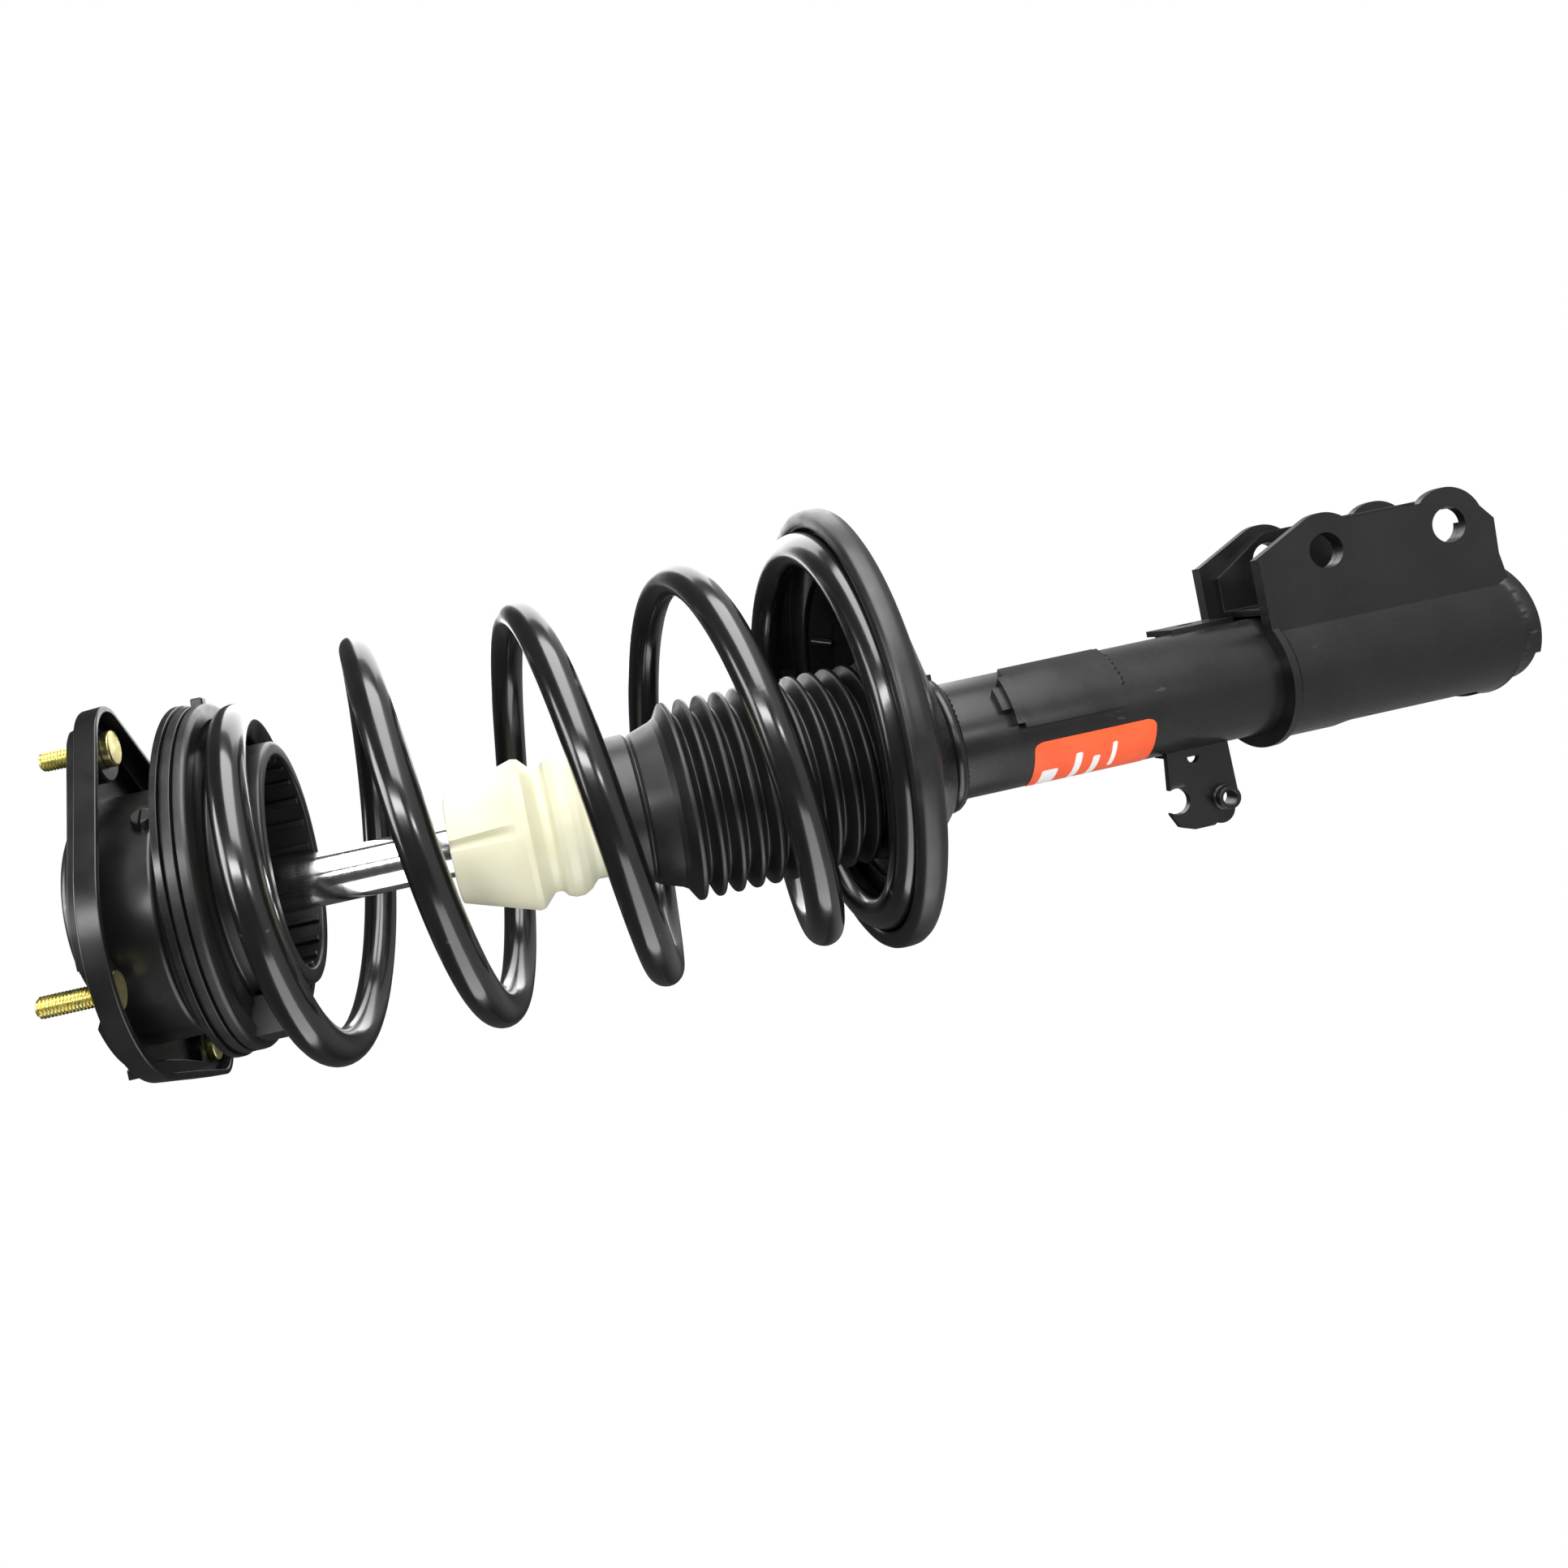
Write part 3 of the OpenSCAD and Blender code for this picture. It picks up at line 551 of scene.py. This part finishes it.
def upper_insulator():
    """Rubber band with a parting groove, a ribbed collar inside the coil, a tab and the coil's stop."""
    bottom, collar_low, outer, parting = seat_z - seat_plate_t, -67, 70, 66.5
    band = turned("insulator_band",
                  [(40, seat_z, 0.4), (outer, seat_z, 1.6), (outer, seat_z - 4.4, 0.4),
                   (parting, seat_z - 4.6, 0.3), (parting, seat_z - 5.3, 0.3),
                   (outer, seat_z - 5.4, 0.4), (outer, bottom, 2.2)]
                  + wire_groove(pigtail_r, -coil_top - 0.4, 52, 128)
                  + [(50.1, bottom, 1.2), (49.6, collar_low, 1.6), (43.5, collar_low, 1.2),
                     (43.5, bottom, 0.8), (40, bottom, 0.4)], (offset_top, 0))
    ribs = [block(f"insulator_rib_{i}", (41.8, -1.4, seat_z - 29), (44.6, 1.4, seat_z - 8), 0.6,
                  i * 15, (offset_top, 0)) for i in range(24)]
    tab = block("insulator_tab", (67, -3, seat_z - 7), (73, 3, seat_z - 2), 0.9, 4, (offset_top, 0))
    stop = [sector("stop_block", [(52, -58, 1), (67.5, -58, 1.5), (67.5, -45, 0), (52, -45, 0)],
                   -170, -149, (offset_top, 0))]
    for i in range(2):
        start = -156 - i * 13
        stop.append(sector(f"stop_ridge_{i}", [(53, -59, 0.6), (66.5, -59, 1), (66.5, -50, 0), (53, -50, 0)],
                           start, start + 6, (offset_top, 0), 8))
    return joined("upper_insulator_finished", [band, tab, *ribs, *stop])


stands_for(upper_insulator(), "upper_insulator")


# ---- coil spring ----

def ramp_area(t, start, end):
    """Drop since the start when the slope ramps up from 0 to 1 between two turns."""
    if t < start:
        return 0
    if t < end:
        return (t - start) ** 2 / (2 * (end - start))
    return t - (start + end) / 2


def coil_height(t):
    """Height of the wire's centre after t turns, with a flat turn at each end."""
    return -coil_top - coil_pitch * (ramp_area(t, 0.2, 1.1) - ramp_area(t, 3.95, 4.79))


def coil_point(t):
    """Centre of the wire after t turns."""
    z = coil_height(t)
    share = min(1, max(0, (t - 0.4) / 0.65))
    r = pigtail_r + (coil_r - pigtail_r) * share * share * (3 - 2 * share)
    across = offset_top + (offset_low - offset_top) * (-z - coil_top) / coil_drop
    a = -2 * math.pi * (t - 0.5)
    return Vector((across + r * math.cos(a), r * math.sin(a), z))


def coil_spring(steps=520, sides=32):
    """Wire swept along the coil, with chamfered ends, and the height of each ring's centre."""
    stations = [(0, 0.86), (0.0006, 0.97), (0.0012, 1)]
    stations += [(i / steps, 1) for i in range(2, steps - 1)]
    stations += [(0.9988, 1), (0.9994, 0.97), (1, 0.86)]
    rings, heights = [], []
    for share, size in stations:
        t = share * coil_turns
        here = coil_point(t)
        along = (coil_point(t + 0.002) - coil_point(t - 0.002)).normalized()
        out = Vector((0, 0, 1)).cross(along).normalized()
        side = along.cross(out)
        rings.append([here + (out * math.cos(q) + side * math.sin(q)) * wire_r * size
                      for q in (2 * math.pi * j / sides for j in range(sides))])
        heights.append(here.z)
    return loft("coil_spring_finished", rings), [h for h in heights for _ in range(sides)]


def stretch_between(piece):
    """Bakes the piece's placement into its mesh."""
    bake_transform(piece)


def add_coil():
    """The spring, from the upper seat on the rod down to the lower seat on the tube."""
    piece, heights = coil_spring()
    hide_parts("coil_spring")
    dress(piece, slot_of["coil_spring"])
    stretch_between(piece)


add_coil()


# ---- rod, bump stop and boot ----

def piston_rod():
    """Rod with its turned-down shank through the mount and its spigot for the piston."""
    return turned("piston_rod_finished",
                  [(0, 3.2, 0), (6, 3.2, 0.2), (shank_r, 2, 0.4), (shank_r, seat_z - 0.5, 0),
                   (rod_r - 0.8, seat_z - 0.5, 0.3), (rod_r, seat_z - 2, 0.6), (rod_r, -352, 0.6),
                   (6, -352, 0), (6, -375, 0.5), (0, -375, 0)], steps=96)


def bump_stop():
    """Turned foam bumper whose neck has four moulded flutes that start in notches."""
    corners = [(11.4, -212, 0.5), (27, -212, 1.0), (27, -193, 2.5), (24.3, -190, 2), (24.3, -185.5, 2),
               (27.6, -182.5, 3), (29.4, -179, 3), (29.4, -175.5, 3), (28.2, -172.5, 1), (25.8, -170.5, 2),
               (25.8, -167.5, 2), (29.3, -164.2, 2), (31.2, -162.4, 1), (31.7, -160, 1.2),
               (30.8, -157, 1.5), (22.2, -130, 1.0), (11.4, -130, 0.6)]
    outline = rounded(corners)
    dense = []
    for i, p in enumerate(outline):
        q = outline[(i + 1) % len(outline)]
        parts = max(1, int((q - p).length / 1.5))
        dense += [p + (q - p) * k / parts for k in range(parts)]
    steps, flute_turn, flute_width, flute_depth, flute_low = 288, -78, 5.2, 2.6, -158
    rings = []
    for r, z in dense:
        ring = []
        on_neck = flute_low < z < -129 and r > 16
        for j in range(steps):
            a = 2 * math.pi * j / steps
            off = (math.degrees(a) - flute_turn + 45) % 90 - 45
            dip = max(0, 1 - (off / flute_width) ** 2) if on_neck else 0
            depth = dip * flute_depth * min(1, max(0, (z - flute_low) / 10))
            ring.append(((r - depth) * math.cos(a), (r - depth) * math.sin(a), z))
        rings.append(ring)
    return loft("bump_stop_finished", rings, closed=True)


def boot_outline():
    """Boot's wall as rounded corners: collar, shoulder, folds and the mouth on the tube."""
    pitch, first, count, rim, wall = 7.9, -226, 12, 41.8, 1.6
    valley = rim - 6.5
    outside = [(32.4, -197, 0.5), (32.4, -207, 0.4), (30.4, -208.6, 0.6), (31.7, -210, 0.4),
               (35, -219.5, 1.2), (36.4, -221.8, 0.8)]
    inside = [(27.4, -197, 0.5), (27.4, -213, 1.5), (29.6, -216, 1), (33, -221.8, 1)]
    for i in range(count):
        z = first - i * pitch
        outside += [(rim, z + 1.0, 1.1), (rim, z - 1.0, 1.1), (valley, z - 3.5, 0.7), (valley, z - 4.5, 0.7)]
        inside += [(rim - wall, z + 0.7, 0.6), (rim - wall, z - 0.7, 0.6),
                   (valley - wall, z - 3.5, 0.5), (valley - wall, z - 4.5, 0.5)]
    last = first - (count - 1) * pitch
    outside += [(valley, last - 5, 0.5), (28, last - 8, 1), (28, -331, 0.6)]
    inside += [(valley - wall, last - 5, 0.5), (tube_r + 0.05, last - 8, 0.5), (tube_r + 0.05, -331, 0.2)]
    return outside + inside[::-1]


def add_boot():
    """The boot, from its collar on the bump stop down to its mouth on the tube."""
    piece = turned("dust_boot_finished", boot_outline(), steps=144, corner_steps=3)
    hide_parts("dust_boot")
    dress(piece, slot_of["dust_boot"])
    stretch_between(piece)


stands_for(piston_rod(), "piston_rod")
stands_for(bump_stop(), "bump_stop")
add_boot()


# ---- lower seat and insulator ----

def lower_insulator():
    """Flat rubber pad under the last turn, with a thick rounded rim outside the wire."""
    rim_top, inner_edge = coil_height(coil_turns) + 1.5, 85.4
    return turned("lower_insulator_finished",
                  [(66, dish_z, 0.8), (93, dish_z, 4.6), (93, rim_top, 3.6), (inner_edge, rim_top, 3.2),
                   (inner_edge, dish_z + 2, 0.5), (66, dish_z + 2, 0.5)], (offset_low, 0))


def weld_bead(name, r, z, size, start=0, end=360, steps=200):
    """Ripple of a weld run round the tube."""
    rings = []
    for k in range(steps + 1):
        a = math.radians(start + (end - start) * k / steps)
        swell = 1 + 0.16 * math.sin(k * 2 * math.pi * (end - start) / steps / 5.5)
        swell += 0.22 * noise.noise(Vector((math.cos(a) * 3, math.sin(a) * 3, z)))
        if end - start < 360:
            swell *= min(1, 0.35 + min(k, steps - k) / 5)
        ring = []
        for j in range(12):
            q = 2 * math.pi * j / 12
            rr = r + size * swell * math.cos(q)
            ring.append((rr * math.cos(a), rr * math.sin(a), z + 1.15 * size * swell * math.sin(q)))
        rings.append(ring)
    if end - start == 360:
        return loft(name, rings[:-1], closed=True, sharp=60)
    return loft(name, rings, sharp=60)


stands_for(lower_insulator(), "lower_insulator")
stands_for(softened("lower_spring_seat", 0.7), "lower_spring_seat")
goes_with(weld_bead("seat_weld", tube_r + 1.0, neck_z, 3.0), "lower_spring_seat")


# ---- tube, clamp, brackets and label ----

def strut_tube():
    """Tube with its upper end rolled over the rod guide."""
    return turned("strut_tube_finished",
                  [(25, -319.5, 0.8), (23.5, -318, 0.6), (15, -318, 0.6), (15, -320.2, 0), (22.8, -320.2, 0),
                   (22.8, -596, 0.4), (25, -596, 0.5)], steps=128)


def curved_patch(name, r, top, low, start, end, corner, lift=0.0):
    """Thin patch on the tube with rounded corners, between heights and angles in degrees."""
    width = math.radians(end - start) * r
    rows = 40
    points, faces = [], []
    for i in range(rows + 1):
        s = width * i / rows
        inset = corner - math.sqrt(max(0, corner ** 2 - (corner - min(s, width - s, corner)) ** 2))
        a = math.radians(start) + s / r
        for z in (low + inset, top - inset):
            for rr in (r, r + lift):
                points.append((rr * math.cos(a), rr * math.sin(a), z))
    for i in range(rows):
        b, n = i * 4, (i + 1) * 4
        faces += [(b + 1, n + 1, n + 3, b + 3), (b, b + 2, n + 2, n), (b, n, n + 1, b + 1),
                  (b + 2, b + 3, n + 3, n + 2)]
    faces += [(0, 1, 3, 2), (rows * 4, rows * 4 + 2, rows * 4 + 3, rows * 4 + 1)]
    return finish_mesh(name, points, faces)


def label_print():
    """Plain pale bars in place of the label's printing."""
    bars = []
    for i, (top, low, start, end) in enumerate([(-374, -381, 134, 164), (-388, -391, 120, 164),
                                                (-396, -399, 128, 164), (-404, -406, 116, 150)]):
        bars.append(curved_patch(f"label_bar_{i}", tube_r + 0.25, top, low, -end, -start, 0.8, 0.03))
    return joined("label_print", bars)


stands_for(strut_tube(), "strut_tube")
stands_for(softened("knuckle_clamp", 0.9), "knuckle_clamp")
stands_for(softened("clamp_stiffener", 0.8), "clamp_stiffener")
stands_for(softened("link_pad", 1.6), "link_pad")
stands_for(softened("wire_tab", 0.5), "wire_tab")
stands_for(softened("hose_bracket", 0.5), "hose_bracket")
stands_for(softened("hose_weld_nut", 0.4), "hose_weld_nut")
stands_for(curved_patch("tube_label_finished", tube_r, -370, -423, -168, -101, 3.5, 0.25), "tube_label")
printing = label_print()
printing.data.materials.append(print_white)
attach(printing, body_of["tube_label"])
goes_with(weld_bead("pad_weld_front", 27, -411, 1.3, -66, -26, 60), "link_pad")

# The CAD pieces still in sight are shown in their own materials
for node, thing in frame["nodes"].items():
    if not thing.hide_render:
        thing.data.materials.clear()
        thing.data.materials.append(materials[slot_of[node]])


# ---- floor, light and camera ----

def add_floor():
    """Pale floor that shows pure white and throws only a little light on the object."""
    half, top, thickness = 4000, -750, 20
    corners = [(-half, -half), (half, -half), (half, half), (-half, half)]
    rings = [[(x, y, z) for x, y in corners] for z in (top - thickness, top)]
    floor = loft("floor", rings)
    made, tree, bsdf = start_material("pale_floor")
    tree.links.new(ramp(tree, grain(tree, 400, 2), [(0.3, 0.30), (0.7, 0.34)]), bsdf.inputs["Base Color"])
    bsdf.inputs["Roughness"].default_value = 0.9
    white = tree.nodes.new("ShaderNodeEmission")
    path = tree.nodes.new("ShaderNodeLightPath")
    mix = tree.nodes.new("ShaderNodeMixShader")
    tree.links.new(path.outputs["Is Camera Ray"], mix.inputs["Fac"])
    tree.links.new(bsdf.outputs["BSDF"], mix.inputs[1])
    tree.links.new(white.outputs["Emission"], mix.inputs[2])
    tree.links.new(mix.outputs["Shader"], tree.nodes["Material Output"].inputs["Surface"])
    floor.data.materials.append(made)


def add_light(name, place, aim, size, power):
    """Soft box at a place in metres, facing a point."""
    data = bpy.data.lights.new(name, "AREA")
    data.shape = "RECTANGLE"
    data.size, data.size_y = size
    data.energy = power
    lamp = bpy.data.objects.new(name, data)
    lamp.location = place
    lamp.rotation_euler = (Vector(aim) - Vector(place)).to_track_quat("-Z", "Y").to_euler()
    scene.collection.objects.link(lamp)


def add_world():
    """White behind the object, dimmer grey round it for light and reflections."""
    world = bpy.data.worlds.new("studio")
    world.use_nodes = True
    tree = world.node_tree
    seen = tree.nodes["Background"]
    seen.inputs["Color"].default_value = (1, 1, 1, 1)
    around = tree.nodes.new("ShaderNodeBackground")
    around.inputs["Color"].default_value = (1, 1, 1, 1)
    around.inputs["Strength"].default_value = 0.07
    path = tree.nodes.new("ShaderNodeLightPath")
    mix = tree.nodes.new("ShaderNodeMixShader")
    tree.links.new(path.outputs["Is Camera Ray"], mix.inputs["Fac"])
    tree.links.new(around.outputs["Background"], mix.inputs[1])
    tree.links.new(seen.outputs["Background"], mix.inputs[2])
    tree.links.new(mix.outputs["Shader"], tree.nodes["World Output"].inputs["Surface"])
    scene.world = world


def add_camera():
    """Camera in front of the strut, rolled so that the rod's axis runs across the picture."""
    look = Vector((-0.02329, 0.99652, -0.08007)).normalized()
    right = Vector((-0.20204, -0.08313, -0.97584))
    right = (right - look * right.dot(look)).normalized()
    up = right.cross(look)
    data = bpy.data.cameras.new("camera")
    data.sensor_width = 36
    data.lens = 26.53
    data.shift_x = 0.1137
    data.shift_y = -0.0647
    camera = bpy.data.objects.new("camera", data)
    turn = Matrix((right, up, -look)).transposed().to_4x4()
    camera.matrix_world = Matrix.Translation((0.0660, -0.4792, -0.1669)) @ turn
    scene.collection.objects.link(camera)
    scene.camera = camera


add_floor()
add_world()
middle = (0.0, 0.0, -0.3)
add_light("top_box", (1.0, -0.45, -0.3), middle, (1.3, 0.9), 26)
add_light("front_strip_left", (0.35, -1.0, 0.35), middle, (0.16, 1.0), 9)
add_light("front_strip_right", (0.25, -1.0, -0.95), middle, (0.12, 1.0), 8)
add_light("under_card", (-0.9, -0.45, -0.3), middle, (1.3, 0.8), 10)
add_light("end_box", (0.2, -0.1, 1.0), middle, (0.6, 0.6), 8)
add_light("back_box", (0.6, 0.9, -0.3), middle, (1.3, 0.9), 12)
add_camera()
scene.view_settings.view_transform = "Standard"
